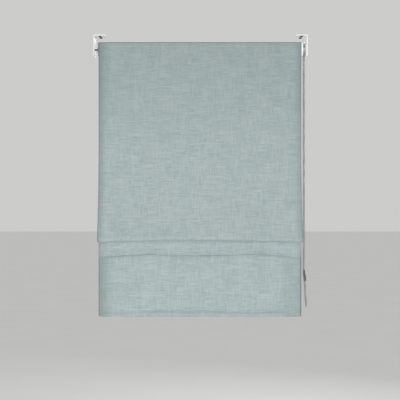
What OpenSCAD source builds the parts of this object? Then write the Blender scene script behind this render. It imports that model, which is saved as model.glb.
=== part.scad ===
// Roman blind with a bead chain control, shown part raised with one open fold.
// X runs right as seen from the room, the room is towards -Y, Z is up.
// Z zero is the underside of the ceiling that the two end brackets are fixed to.

/* [Overall] */
// width over the outer faces of the end brackets
overall_w = 606; // [460:1:1200]
// outer face of the left bracket to the edge of the cloth
left_gap = 14; // [12:0.5:24]
// outer face of the right bracket to the edge of the cloth
right_gap = 18; // [17:0.5:28]
// ceiling to the top of the headrail and of the cloth
rail_drop = 21; // [12:0.5:40]
// top of the cloth down to the upper rod
upper_rod_drop = 140; // [90:1:220]
// top of the cloth down to the lowest rod
lift_rod_drop = 605; // [500:1:980]
// lower edge of the open fold above the lowest rod
fold_over = 43; // [30:1:60]
// lowest rod down to the bottom edge
skirt_h = 173; // [90:1:260]

/* [End brackets] */
// thickness of the bracket sheet
bracket_t = 2; // [1.5:0.1:3]
// height of the side plate
bracket_h = 59; // [54:0.5:75]
// depth of the side plate and of the top flange
bracket_depth = 40; // [36:0.5:60]
// width of the top flange
flange_w = 32; // [26:0.5:40]
// diameter of the screw holes
screw_hole_d = 5; // [4:0.1:6.5]
// spacing of the two screw holes, front to back
screw_gap = 24; // [16:0.5:28]
// screw holes in from the outer face of the bracket
screw_inset = 17; // [12:0.5:22]
// radius of the plate corners
bracket_corner_r = 4; // [1:0.5:8]

/* [Headrail] */
// depth of the rail
rail_depth = 32; // [30:0.5:46]
// height of the rail
rail_h = 38; // [36:0.5:50]
// wall of the rail
rail_wall = 1.6; // [1.2:0.1:2.4]
// width of each lip along the open top
rail_lip = 6; // [3:0.5:8]
// height of the touch tape on the front of the rail
tape_h = 25; // [16:0.5:32]
// thickness of each half of the touch tape
tape_t = 1.2; // [0.8:0.1:2]

/* [Cloth] */
// thickness of the face cloth
face_t = 0.8; // [0.6:0.1:1.2]
// thickness of the lining
lining_t = 0.4; // [0.3:0.05:0.6]
// radius of the two bends of the open fold
fold_r = 9.5; // [6:0.5:14]
// cloth that stands up behind the fold, between its bends
fold_back = 26; // [10:1:60]
// radius of the sweep that brings the front of the fold forward
sweep_r = 870; // [600:10:1400]
// width of the turned side hems
side_hem = 40; // [25:1:60]
// radius of the bottom hem round the bar
hem_r = 3; // [2.6:0.1:4]
// rise of the bottom hem behind the bar
hem_rise = 6; // [5:0.5:12]

/* [Rods] */
// diameter of a rod
rod_d = 4; // [3:0.1:5]
// rod ends in from the edge of the cloth
rod_inset = 14; // [10:1:30]
// thickness of the pocket cloth
pocket_t = 0.4; // [0.3:0.05:0.6]
// height of a pocket's sewn band
pocket_h = 16; // [12:0.5:24]
// length of a rod tip
tip_len = 7; // [5:0.5:12]
// wall of a rod tip
tip_wall = 0.8; // [0.6:0.1:1.4]

/* [Bottom bar] */
// height of the bottom bar
bar_h = 9; // [7:0.5:10]
// thickness of the bottom bar
bar_t = 3.2; // [2.6:0.1:3.6]
// wall of the bottom bar
bar_wall = 0.7; // [0.5:0.1:0.9]
// bar ends in from the edge of the cloth
bar_inset = 4; // [2:0.5:12]
// head of a bar plug
plug_head = 2; // [1:0.5:4]
// tongue of a bar plug
plug_tongue = 12; // [6:1:20]

/* [Lift] */
// lift cords out from the middle, as a share of half the cloth
cord_share = 0.52; // [0.4:0.002:0.8]
// diameter of a lift cord
cord_d = 1.4; // [1:0.1:1.8]
// radius of a spool's core
spool_r = 8; // [7.5:0.1:9]
// length of a spool's core
spool_len = 22; // [16:1:30]
// flange of a spool beyond its core
spool_rim = 3.5; // [2:0.5:4]
// thickness of a spool flange
spool_rim_t = 1.5; // [1:0.1:2.5]
// radius of a spool's journals
journal_r = 5.5; // [5:0.1:6]
// walls of a cradle
cradle_wall = 3.5; // [2.5:0.5:5]
// floor of a cradle
cradle_floor = 2.5; // [1.5:0.5:3]
// side of the square shaft
shaft_side = 6; // [5:0.1:6.5]
// outer radius of a cord ring
ring_r = 4; // [3.6:0.1:4.6]
// inner radius of a cord ring
ring_hole_r = 2.2; // [1.8:0.1:2.6]
// thickness of a cord ring
ring_t = 2.4; // [1.6:0.1:4]
// width of the clip that holds a ring to its rod
clip_w = 8; // [5:0.5:14]
// wall of that clip
clip_wall = 1.2; // [0.8:0.1:1.6]
// height of a cord anchor
anchor_h = 11; // [8:0.5:16]
// depth of the cord in its anchor
anchor_depth = 6; // [4:0.5:8]

/* [Chain control] */
// diameter of a chain ball
ball_d = 4.5; // [3.8:0.1:5]
// spacing of the chain balls
ball_pitch = 6; // [5.5:0.1:7]
// balls round the chain wheel
wheel_balls = 12; // [11:1:13]
// diameter of the links between balls
link_d = 1.5; // [1:0.1:2]
// balls down the straight run of the chain
run_balls = 105; // [60:1:180]
// balls in the leaning run below the joiner
lean_balls = 15; // [10:1:30]
// lean of the chain below the joiner, in degrees
lean_angle = 4; // [0:0.5:8]
// thickness of the chain wheel
wheel_t = 7; // [6:0.1:8]
// inner cheek of the control unit, beside the cloth
housing_cheek = 5; // [3:0.1:5.2]
// outer cheek of the control unit, beside the bracket
cheek_t = 2.5; // [2:0.1:2.8]
// length of the plugs in the rail ends
rail_plug = 20; // [16:0.5:30]
// radius of the pin that the wheel turns on
spigot_r = 4; // [3:0.1:5]
// radius of the wheel's hub
hub_r = 7; // [6:0.1:8]
// wire of the brake spring
brake_wire = 1.2; // [0.8:0.1:1.4]
// turns of the brake spring
brake_turns = 9; // [5:1:12]
// side of the square boss in the right bracket
boss_side = 12; // [8:0.5:16]
// outer radius of the chain joiner
joiner_r = 3.4; // [3.1:0.1:4]
// length of the chain joiner, in ball spacings
joiner_balls = 5; // [4:1:6]

/* [Idle end] */
// flange of the end cap
cap_t = 1.5; // [1:0.1:3]
// length of the end cap's cone round the pin
cone_len = 3.5; // [1:0.1:5]
// radius of that cone at the flange
cone_r = 13; // [8:0.5:15]
// radius of the idle pin
pin_r = 2.5; // [2:0.1:3]
// collar of the idle pin beyond its shank
pin_collar = 1.2; // [0.8:0.1:1.6]
// thickness of that collar
pin_collar_t = 1.5; // [1:0.1:3]
// wire of the idle pin's spring
spring_wire = 0.7; // [0.5:0.05:0.9]
// turns of that spring
spring_turns = 5; // [3:1:6]
// length of that spring
spring_len = 8.2; // [7:0.1:9]
// outer radius of the shaft bush
bush_r = 6.5; // [6:0.1:8]
// length of the shaft bush
bush_len = 7; // [5:0.5:10]

/* [Hidden] */

// clearances: press or seated parts, parts that pass, parts that run on each other
seat_gap = 0.1;
pass_gap = 0.4;
run_gap = 0.05;
// how far a cut runs past the face that it opens
overrun = 1;

// cloth and rail places
half_w = overall_w / 2;
cloth_half = (overall_w - left_gap - right_gap) / 2;
mid_x = (left_gap - right_gap) / 2;
left_out = half_w + mid_x;
right_out = half_w - mid_x;
rail_top = -rail_drop;
rail_bottom = rail_top - rail_h;
axis_z = rail_top - rail_h / 2;
rail_front = -rail_depth / 2;
cloth_y = rail_front - tape_t - tape_t - lining_t;
side_in = half_w - bracket_t;

// the fold: its sweep angle brings the cloth back under its own top
sweep_a = acos((sweep_r - fold_r - fold_r * 2) / (sweep_r + fold_r));
fold_low = rail_top - lift_rod_drop + fold_over + face_t;
sweep_end_z = fold_low + fold_r * (1 + sin(sweep_a));
sweep_top_z = sweep_end_z + sweep_r * sin(sweep_a);
sweep_end_y = cloth_y - sweep_r * (1 - cos(sweep_a));
back_y = sweep_end_y + fold_r * (1 + cos(sweep_a));
back_low_z = fold_low + fold_r;
back_top_z = back_low_z + fold_back;
lift_rod_z = rail_top - lift_rod_drop;
bottom_z = lift_rod_z - skirt_h;
hem_z = bottom_z + face_t + hem_r;
hem_lean = 55;
hem_gap = 0.3;
hem_reach = hem_r * 2 - hem_gap - face_t - hem_r * (1 - cos(hem_lean));
lining_low = hem_z + hem_rise + hem_r * 4;
sweep_n = 8;
bend_n = 10;
hem_n = 6;

// points of a bend with heading turned from a to b, as [y, z, heading]
function bend(y, z, a, b, r, n, from = 0) = [for (i = [from:n])
    let (f = a + (b - a) * i / n, s = sign(b - a))
    [y + s * r * (cos(f) - cos(a)), z - s * r * (sin(f) - sin(a)), f]];
function side(path, o) = [for (p = path) [p[0] - o * cos(p[2]), p[1] + o * sin(p[2])]];
function back_to_front(v) = [for (i = [len(v) - 1:-1:0]) v[i]];

fold_path = concat([[cloth_y, rail_top, 0]],
    bend(cloth_y, sweep_top_z, 0, sweep_a, sweep_r, sweep_n),
    bend(sweep_end_y, sweep_end_z, sweep_a, -180, fold_r, bend_n, 1),
    bend(back_y, back_top_z, -180, 0, fold_r, bend_n));
hem_bend_y = cloth_y + hem_r * 2;
hem_over = bend(hem_bend_y, hem_z + hem_rise, -180, -180 - hem_lean, hem_r, hem_n);
hem_last = hem_over[hem_n];
hem_tip = hem_reach / sin(hem_lean);
hem_end = [hem_last[0] - hem_reach, hem_last[1] + hem_tip * cos(hem_lean), hem_last[2]];
face_path = concat(fold_path, bend(cloth_y, hem_z, 0, -180, hem_r, hem_n), hem_over, [hem_end]);
lining_path = concat(fold_path, [[cloth_y, lining_low, 0]]);

// rods: the middle one is halfway along the cloth between the upper and the lowest
upper_z = rail_top - upper_rod_drop;
sweep_len = sweep_r * sweep_a * PI / 180;
fold_run = (back_top_z - lift_rod_z) + PI * fold_r + fold_back + fold_r * (PI + sweep_a * PI / 180);
rod_pitch = (upper_z - sweep_top_z + sweep_len + fold_run) / 2;
middle_a = sweep_a - (rod_pitch - fold_run) / sweep_r * 180 / PI;
middle_z = sweep_top_z - sweep_r * sin(middle_a);
middle_y = cloth_y - sweep_r * (1 - cos(middle_a));
rod_r = rod_d / 2;
pocket_in = rod_r + seat_gap * 2;
pocket_out = pocket_in + pocket_t;
pocket_y = face_t + seat_gap + pocket_out;
rod_half = cloth_half - rod_inset;

// lift cords
cord_x = cloth_half * cord_share;
cord_r = cord_d / 2;
cord_y = -spool_r - cord_r - run_gap;
ring_y = cord_y - cloth_y;
middle_ring_y = middle_y + ring_y * cos(middle_a);
middle_ring_z = middle_z - ring_y * sin(middle_a);
anchor_top = lift_rod_z + anchor_h / 2;

// spools, shaft and cradles
rail_in_half = rail_depth / 2 - rail_wall;
rail_floor = rail_bottom + rail_wall;
rail_ceiling = rail_top - rail_wall;
spool_half = spool_len / 2 + spool_rim_t;
journal_len = cradle_wall + pass_gap * 2;
cradle_half = spool_half + pass_gap + cradle_wall;
socket_side = shaft_side + seat_gap * 2;

// chain control
wheel_r = ball_pitch * wheel_balls / (2 * PI);
ball_r = ball_d / 2;
link_r = link_d / 2;
cheek_x = cloth_half + pass_gap;
wheel_x = cheek_x + housing_cheek + pass_gap;
chain_x = wheel_x + wheel_t / 2;
cover_x = wheel_x + wheel_t + pass_gap;
seat_slope = 26;
seat_mid_r = (ball_r + seat_gap) / cos(seat_slope);
seat_deep = ball_r + seat_gap * 2;
seat_proud = seat_gap * 2 + overrun;
wheel_rim_r = wheel_r + seat_gap * 2;
link_slot = link_d + pass_gap;
spigot_len = wheel_t - cheek_t;
hub_len = rail_plug + housing_cheek - cheek_t * 3;
brake_r = hub_r + pass_gap + brake_wire / 2;
brake_bore_r = brake_r + brake_wire / 2 + pass_gap;
brake_step = brake_wire * 0.92;
knee_z = axis_z - ball_pitch * run_balls;
run_len = ball_pitch * run_balls;
lean_len = ball_pitch * lean_balls;
joiner_len = joiner_balls * ball_pitch;
joiner_half = joiner_len / 2;
joined_balls = lean_balls - joiner_balls + 1;
chain_sides = 6;
bridge_t = 2;
chain_top = wheel_r + ball_r + pass_gap;

// idle end
pin_tip_x = -left_out + seat_gap * 4;
cap_x = -cheek_x - cap_t;
collar_r = pin_r + pin_collar;
chamber_r = collar_r + pass_gap;
chamber_x = cap_x + cheek_t * 2;
collar_x = chamber_x + seat_gap;
spring_x = collar_x + pin_collar_t + seat_gap;
spring_wire_r = spring_wire / 2;
spring_r = chamber_r - spring_wire_r - seat_gap * 2;
chamber_end = spring_x + spring_len + seat_gap;
bush_x = chamber_end + cheek_t;
shaft_x = bush_x + pass_gap;
cap_end = bush_x + bush_len - overrun;
spring_sides = 6;
spring_steps = 12;

// all but the brackets is centred on the cloth, which the control pushes off the middle
module centred() translate([mid_x, 0, 0]) children();
// an extrusion along X of a Y and Z outline
module along_x(x, length) translate([x, 0, 0]) rotate([90, 0, 90]) linear_extrude(length) children();
module pin_x(x, length, r) translate([x, 0, axis_z]) rotate([0, 90, 0])
    cylinder(h = length, r = r, $fn = 48);
module bar_x(x, length, side) translate([x, -side / 2, axis_z - side / 2]) cube([length, side, side]);
module sheet(path, inner, outer, x, length) along_x(x, length)
    polygon(concat(side(path, inner), back_to_front(side(path, outer))));
module rounded(w, h, r) {
    square([w - r * 2, h], center = true);
    square([w, h - r * 2], center = true);
    for (i = [-1, 1], j = [-1, 1]) translate([i * (w / 2 - r), j * (h / 2 - r)]) circle(r, $fn = 32);
}
// places a rod's own parts: local Y points back from the cloth
module at_rod(y, z, a) translate([mid_x, y, z]) rotate([-a, 0, 0]) children();
module at_upper() at_rod(cloth_y, upper_z, 0) children();
module at_middle() at_rod(middle_y, middle_z, middle_a) children();
module at_lift() at_rod(cloth_y, lift_rod_z, 0) children();

// headrail: an aluminium channel, open along its top, with a slot for each lift cord
module rail_outline() {
    difference() {
        translate([-rail_depth / 2, rail_bottom]) square([rail_depth, rail_h]);
        translate([-rail_in_half, rail_floor]) square([rail_in_half * 2, rail_ceiling - rail_floor]);
        translate([-rail_in_half + rail_lip, rail_ceiling - overrun])
            square([(rail_in_half - rail_lip) * 2, rail_wall + overrun * 2]);
    }
}
module headrail() color("white") centred() difference() {
    along_x(-cloth_half, cloth_half * 2) rail_outline();
    for (i = [-1, 1]) translate([i * cord_x, cord_y, rail_bottom - overrun])
        cylinder(h = rail_wall + overrun * 2, r = ring_hole_r, $fn = 32);
}

// end brackets: a side plate and a top flange with two screw holes
module bracket() {
    difference() {
        translate([half_w - bracket_t, 0, -bracket_h / 2]) rotate([90, 0, 90])
            linear_extrude(bracket_t) {
                rounded(bracket_depth, bracket_h, bracket_corner_r);
                translate([-bracket_depth / 2, 0]) square([bracket_depth, bracket_h / 2]);
            }
        children();
    }
    difference() {
        translate([half_w - flange_w, -bracket_depth / 2, -bracket_t])
            cube([flange_w - bracket_t, bracket_depth, bracket_t]);
        for (i = [-1, 1]) translate([half_w - screw_inset, i * screw_gap / 2, -bracket_t - overrun])
            cylinder(h = bracket_t + overrun * 2, r = screw_hole_d / 2, $fn = 48);
    }
}
module right_bracket() color("white") bracket()
    bar_x(side_in - overrun, bracket_t + overrun * 2, boss_side + seat_gap * 2);
module left_bracket() color("white") mirror([1, 0, 0]) bracket()
    pin_x(side_in - overrun, bracket_t + overrun * 2, pin_r + run_gap);

// touch tape: hooks on the rail, loops sewn to the heading
tape_z = rail_top - tape_h - bracket_t;
module hook_tape() color("ivory") centred() translate([-cloth_half, rail_front - tape_t, tape_z])
    cube([cloth_half * 2, tape_t, tape_h]);
module loop_tape() color("ivory") centred() translate([-cloth_half, rail_front - tape_t * 2, tape_z])
    cube([cloth_half * 2, tape_t, tape_h]);

// face cloth in one piece: front, turned side hems and the bottom hem round the bar
module face_cloth() color("lightsteelblue") centred() {
    sheet(face_path, 0, face_t, -cloth_half, cloth_half * 2);
    for (i = [0, 1]) mirror([i, 0, 0])
        sheet(lining_path, -lining_t, face_t / 2, cloth_half - side_hem, side_hem);
}
lining_half = cloth_half - side_hem - seat_gap;
module lining() color("linen") centred()
    sheet(lining_path, -lining_t, 0, -lining_half, lining_half * 2);

// idle end: cap in the rail, sprung pin in the left bracket
module left_end_cap() color("white") centred() difference() {
    union() {
        cheek_at(cap_x, cap_t);
        rail_plug_at(-cheek_x, cap_end + cheek_x);
        translate([cap_x, 0, axis_z]) rotate([0, -90, 0])
            cylinder(h = cone_len, r1 = cone_r, r2 = pin_r * 2, $fn = 48);
    }
    pin_x(cap_x - cone_len - overrun, chamber_x - cap_x + cone_len + overrun * 2, pin_r + run_gap);
    pin_x(chamber_x, chamber_end - chamber_x, chamber_r);
    pin_x(bush_x, bush_len + overrun, bush_r + run_gap);
}
module rail_plug_at(x, length) translate([x, -rail_in_half + seat_gap, rail_floor + seat_gap])
    cube([length, (rail_in_half - seat_gap) * 2, rail_ceiling - rail_floor - seat_gap * 2]);
module idle_pin() color("dimgray") centred() {
    pin_x(pin_tip_x, collar_x - pin_tip_x, pin_r);
    pin_x(collar_x, pin_collar_t, collar_r);
}
// one coil of round wire, swept along its own turns
function spring_ring(i) = let (a = 360 * i / spring_steps,
    x = spring_x + spring_wire_r + (spring_len - spring_wire) * i / (spring_turns * spring_steps))
    [for (j = [0:spring_sides - 1]) let (b = 360 * j / spring_sides, r = spring_r + spring_wire_r * cos(b))
        [x + spring_wire_r * sin(b), r * cos(a), axis_z + r * sin(a)]];
spring_rings = spring_turns * spring_steps;
spring_points = [for (i = [0:spring_rings]) each spring_ring(i)];
spring_faces = concat(
    [[for (j = [0:spring_sides - 1]) j]],
    [for (i = [0:spring_rings - 1], j = [0:spring_sides - 1])
        [i * spring_sides + j, (i + 1) * spring_sides + j,
         (i + 1) * spring_sides + (j + 1) % spring_sides, i * spring_sides + (j + 1) % spring_sides]],
    [[for (j = [spring_sides - 1:-1:0]) spring_rings * spring_sides + j]]);
module idle_spring() color("silver") centred() polyhedron(spring_points, spring_faces);

// control unit: housing in the rail, cover with the fixed pin, wheel and brake spring
module cheek_at(x, t) along_x(x, t) translate([0, axis_z]) rounded(rail_depth, rail_h, bracket_corner_r);
module control_housing() color("white") centred() difference() {
    union() {
        cheek_at(cheek_x, housing_cheek);
        rail_plug_at(cheek_x - rail_plug, rail_plug);
        along_x(cheek_x + housing_cheek, cover_x - cheek_x - housing_cheek - run_gap)
            translate([-rail_depth / 2 + bracket_corner_r, rail_top - bridge_t])
                square([rail_depth - bracket_corner_r * 2, bridge_t]);
    }
    pin_x(cheek_x - rail_plug - overrun, rail_plug + overrun, brake_bore_r);
    pin_x(cheek_x - overrun, housing_cheek + overrun * 2, hub_r + pass_gap);
}
module control_cover() color("white") centred() {
    cheek_at(cover_x, cheek_t);
    pin_x(cover_x - spigot_len, spigot_len, spigot_r);
    bar_x(cover_x + cheek_t, right_out - cover_x - cheek_t, boss_side);
}
brake_x = cheek_x - brake_turns * brake_step - cheek_t;
module brake_spring() color("silver") centred() translate([brake_x, 0, axis_z])
    rotate([0, 90, 0]) rotate_extrude($fn = 48)
        for (i = [0:brake_turns - 1])
            translate([brake_r, brake_wire / 2 + i * brake_step]) circle(brake_wire / 2, $fn = 24);
module chain_wheel() color("whitesmoke") centred() difference() {
    union() {
        pin_x(wheel_x, wheel_t, wheel_rim_r);
        pin_x(wheel_x - hub_len, hub_len, hub_r);
    }
    pin_x(cover_x - spigot_len - pass_gap, spigot_len + overrun, spigot_r + run_gap);
    bar_x(wheel_x - hub_len - overrun, hub_len - cheek_t + overrun, socket_side);
    difference() {
        pin_x(chain_x - link_slot / 2, link_slot, wheel_rim_r + overrun);
        pin_x(chain_x - link_slot / 2 - overrun, link_slot + overrun * 2, wheel_r - link_slot / 2);
    }
    for (i = [0:wheel_balls - 1]) translate([chain_x, 0, axis_z]) rotate([i * 360 / wheel_balls, 0, 0])
        translate([0, wheel_r - seat_deep, 0]) rotate([-90, 0, 0])
            cylinder(h = seat_deep + seat_proud, r1 = seat_mid_r - seat_deep * tan(seat_slope),
                     r2 = seat_mid_r + seat_proud * tan(seat_slope), $fn = 32);
}

// bead chain: balls on links, over the wheel, down, and round a free bend at the bottom
waist = ball_r * 0.3;
function ball_outline(n) = concat([[0, 0]],
    [for (i = [0:n - 1], k = [0:2]) let (z = ball_pitch * i, h = ball_pitch / 2)
        [[link_r, z], [ball_r, z + h - waist], [ball_r, z + h + waist]][k]],
    [[link_r, ball_pitch * n], [0, ball_pitch * n]]);
module ball_run(n) mirror([0, 0, 1]) rotate_extrude($fn = chain_sides) polygon(ball_outline(n));
module turn_of_chain(balls) {
    rotate([90, 0, 90]) rotate_extrude(angle = 180, $fn = 48)
        translate([wheel_r, 0]) circle(link_r, $fn = 24);
    for (i = [0:balls - 1]) rotate([i * 360 / wheel_balls, 0, 0])
        translate([0, wheel_r, 0]) sphere(ball_r, $fn = 24);
    for (i = [-1, 1]) translate([0, i * wheel_r, -ball_pitch / 2 - link_r])
        cylinder(h = ball_pitch / 2 + link_r, r = link_r, $fn = 24);
}
half_balls = wheel_balls / 2;
module bead_chain() color("silver") centred() {
    translate([chain_x, 0, axis_z]) {
        turn_of_chain(half_balls + 1);
        translate([0, wheel_r, -ball_pitch / 2]) ball_run(run_balls - 1);
        translate([0, -wheel_r, -ball_pitch / 2]) ball_run(run_balls);
    }
    translate([chain_x, 0, knee_z]) rotate([0, -lean_angle, 0]) {
        translate([0, wheel_r, ball_pitch / 2]) ball_run(lean_balls);
        translate([0, -wheel_r, ball_pitch / 2 - joiner_len + ball_pitch]) ball_run(joined_balls);
        translate([0, 0, -lean_len]) mirror([0, 0, 1]) turn_of_chain(half_balls + 1);
    }
}
// breakaway joiner: two halves, each holding an end of the chain
socket_depth = ball_pitch + pass_gap;
module joiner_shell(z, low) centred() translate([chain_x, 0, knee_z]) rotate([0, -lean_angle, 0])
    translate([0, -wheel_r, z]) difference() {
        cylinder(h = joiner_half, r = joiner_r, $fn = 32);
        translate([0, 0, low ? -overrun : joiner_half - socket_depth])
            cylinder(h = socket_depth + overrun, r = ball_r + pass_gap, $fn = 32);
    }
module joiner_upper() color("dimgray") joiner_shell(-joiner_half + ball_pitch / 2, false);
module joiner_lower() color("dimgray") joiner_shell(-joiner_len + ball_pitch / 2, true);

// shaft, its bush, spools and cradles
module drive_shaft() color("silver") centred()
    bar_x(shaft_x, wheel_x - hub_len + rail_plug / 3 - shaft_x, shaft_side);
module shaft_bush() color("whitesmoke") centred() difference() {
    pin_x(bush_x + run_gap, bush_len, bush_r);
    bar_x(bush_x - overrun, bush_len + overrun * 2, socket_side);
}
module spool_at(x) color("whitesmoke") translate([x + mid_x, 0, 0]) difference() {
    union() {
        pin_x(-spool_half, spool_half * 2, spool_r);
        for (i = [0, 1]) mirror([i, 0, 0]) {
            pin_x(spool_len / 2, spool_rim_t, spool_r + spool_rim);
            pin_x(spool_half, journal_len, journal_r);
        }
    }
    bar_x(-spool_half - journal_len - overrun, (spool_half + journal_len + overrun) * 2, socket_side);
}
module left_spool() spool_at(-cord_x);
module right_spool() spool_at(cord_x);
module cradle_at(x) color("whitesmoke") translate([x + mid_x, 0, 0]) difference() {
    translate([-cradle_half, -rail_in_half + seat_gap, rail_floor])
        cube([cradle_half * 2, (rail_in_half - seat_gap) * 2, axis_z + journal_r - rail_floor]);
    translate([-spool_half - pass_gap, -rail_in_half - overrun, rail_floor + cradle_floor])
        cube([(spool_half + pass_gap) * 2, (rail_in_half + overrun) * 2, rail_h]);
    pin_x(-cradle_half - overrun, (cradle_half + overrun) * 2, journal_r + run_gap);
    translate([0, cord_y, rail_floor - overrun])
        cylinder(h = cradle_floor + overrun * 2, r = ring_hole_r, $fn = 32);
}
module left_cradle() cradle_at(-cord_x);
module right_cradle() cradle_at(cord_x);

// lift cords: off the front of a spool, through two rings, into the anchor
cord_knots = [[cord_y, axis_z], [cord_y, upper_z], [middle_ring_y, middle_ring_z],
    [cord_y, anchor_top + pass_gap], [cord_y, anchor_top - anchor_depth + pass_gap]];
cord_sides = 8;
cord_points = [for (k = cord_knots, j = [0:cord_sides - 1]) let (b = 360 * j / cord_sides)
    [cord_r * cos(b), k[0] + cord_r * sin(b), k[1]]];
cord_last = len(cord_knots) - 1;
cord_faces = concat(
    [[for (j = [cord_sides - 1:-1:0]) j]],
    [for (i = [0:cord_last - 1], j = [0:cord_sides - 1])
        [i * cord_sides + j, i * cord_sides + (j + 1) % cord_sides,
         (i + 1) * cord_sides + (j + 1) % cord_sides, (i + 1) * cord_sides + j]],
    [[for (j = [0:cord_sides - 1]) cord_last * cord_sides + j]]);
module lift_cord_at(x) color("white") translate([x + mid_x, 0, 0]) polyhedron(cord_points, cord_faces);
module left_lift_cord() lift_cord_at(-cord_x);
module right_lift_cord() lift_cord_at(cord_x);

// rods with their pockets, tips and rings
module rod() color("gainsboro") translate([-rod_half, pocket_y, 0]) rotate([0, 90, 0])
    cylinder(h = rod_half * 2, r = rod_r, $fn = 32);
pocket_half = rod_half - tip_len - pass_gap;
module pocket() color("linen") along_x(-pocket_half, pocket_half * 2) difference() {
    union() {
        translate([pocket_y, 0]) circle(pocket_out, $fn = 32);
        translate([pocket_y - pocket_out, -pocket_h / 2]) square([pocket_t, pocket_h]);
    }
    translate([pocket_y, 0]) circle(pocket_in, $fn = 32);
}
module rod_tips() color("white") for (i = [0, 1]) mirror([i, 0, 0])
    translate([rod_half - tip_len + tip_wall, pocket_y, 0]) rotate([0, 90, 0]) difference() {
        cylinder(h = tip_len, r = rod_r + tip_wall, $fn = 32);
        translate([0, 0, -overrun]) cylinder(h = tip_len - tip_wall + overrun, r = rod_r, $fn = 32);
    }
clip_in = pocket_out + seat_gap;
clip_out = clip_in + clip_wall;
module rod_clip(x) translate([x - clip_w / 2, 0, 0]) rotate([90, 0, 90]) linear_extrude(clip_w)
    difference() {
        translate([pocket_y, 0]) circle(clip_out, $fn = 32);
        translate([pocket_y, 0]) circle(clip_in, $fn = 32);
        translate([pocket_y - clip_out * 2, -clip_out - overrun])
            square([clip_out * 2, (clip_out + overrun) * 2]);
    }
module clip_bore(x) translate([x - clip_w, pocket_y, 0]) rotate([0, 90, 0])
    cylinder(h = clip_w * 2, r = clip_in, $fn = 32);
// arm from the clip back to the ring or anchor
module clip_arm(x, h) translate([x - ring_r / 2, pocket_y, -h / 2]) cube([ring_r, ring_y - pocket_y, h]);
module cord_ring(x) color("white") {
    rod_clip(x);
    difference() {
        union() {
            translate([x, ring_y, -ring_t / 2]) cylinder(h = ring_t, r = ring_r, $fn = 40);
            clip_arm(x, ring_t);
        }
        translate([x, ring_y, -ring_t]) cylinder(h = ring_t * 2, r = ring_hole_r, $fn = 32);
        clip_bore(x);
    }
}
module cord_anchor(x) color("white") {
    rod_clip(x);
    difference() {
        union() {
            translate([x, ring_y, -anchor_h / 2]) cylinder(h = anchor_h, r = ring_r, $fn = 40);
            clip_arm(x, anchor_h / 2);
        }
        translate([x, ring_y, anchor_h / 2 - anchor_depth])
            cylinder(h = anchor_depth + overrun, r = cord_r + seat_gap, $fn = 32);
        clip_bore(x);
    }
}
module upper_rod() at_upper() rod();
module upper_pocket() at_upper() pocket();
module upper_rod_tips() at_upper() rod_tips();
module upper_left_ring() at_upper() cord_ring(-cord_x);
module upper_right_ring() at_upper() cord_ring(cord_x);
module middle_rod() at_middle() rod();
module middle_pocket() at_middle() pocket();
module middle_rod_tips() at_middle() rod_tips();
module middle_left_ring() at_middle() cord_ring(-cord_x);
module middle_right_ring() at_middle() cord_ring(cord_x);
module lift_rod() at_lift() rod();
module lift_pocket() at_lift() pocket();
module lift_rod_tips() at_lift() rod_tips();
module left_anchor() at_lift() cord_anchor(-cord_x);
module right_anchor() at_lift() cord_anchor(cord_x);

// bottom bar: a flat tube in the hem, with a plug in each end
bar_half = cloth_half - bar_inset;
bar_z = hem_z - seat_gap * 6;
bar_y = cloth_y + hem_r;
module bottom_bar() color("silver") centred() translate([-bar_half, bar_y - bar_t / 2, bar_z]) difference() {
    cube([bar_half * 2, bar_t, bar_h]);
    translate([-overrun, bar_wall, bar_wall])
        cube([(bar_half + overrun) * 2, bar_t - bar_wall * 2, bar_h - bar_wall * 2]);
}
plug_in = bar_wall + run_gap;
module bar_plugs() color("white") centred() for (i = [0, 1]) mirror([i, 0, 0]) {
    translate([bar_half, bar_y - bar_t / 2, bar_z]) cube([plug_head, bar_t, bar_h]);
    translate([bar_half - plug_tongue, bar_y - bar_t / 2 + plug_in, bar_z + plug_in])
        cube([plug_tongue, bar_t - plug_in * 2, bar_h - plug_in * 2]);
}

headrail();
left_bracket();
right_bracket();
hook_tape();
loop_tape();
face_cloth();
lining();
left_end_cap();
idle_pin();
idle_spring();
control_housing();
control_cover();
brake_spring();
chain_wheel();
bead_chain();
joiner_upper();
joiner_lower();
drive_shaft();
shaft_bush();
left_spool();
right_spool();
left_cradle();
right_cradle();
left_lift_cord();
right_lift_cord();
upper_rod();
upper_pocket();
upper_rod_tips();
upper_left_ring();
upper_right_ring();
middle_rod();
middle_pocket();
middle_rod_tips();
middle_left_ring();
middle_right_ring();
lift_rod();
lift_pocket();
lift_rod_tips();
left_anchor();
right_anchor();
bottom_bar();
bar_plugs();
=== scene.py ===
"""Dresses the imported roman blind: cloth, lining, chain and trim meshes, a material for each node.

Everything is in metres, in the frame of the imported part: X right as seen from the room, the room
towards -Y, Z up, zero on the ceiling plane at the middle of the four screw holes.
"""
import math

import bmesh
import bpy
from mathutils import Matrix, Vector, noise


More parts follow.
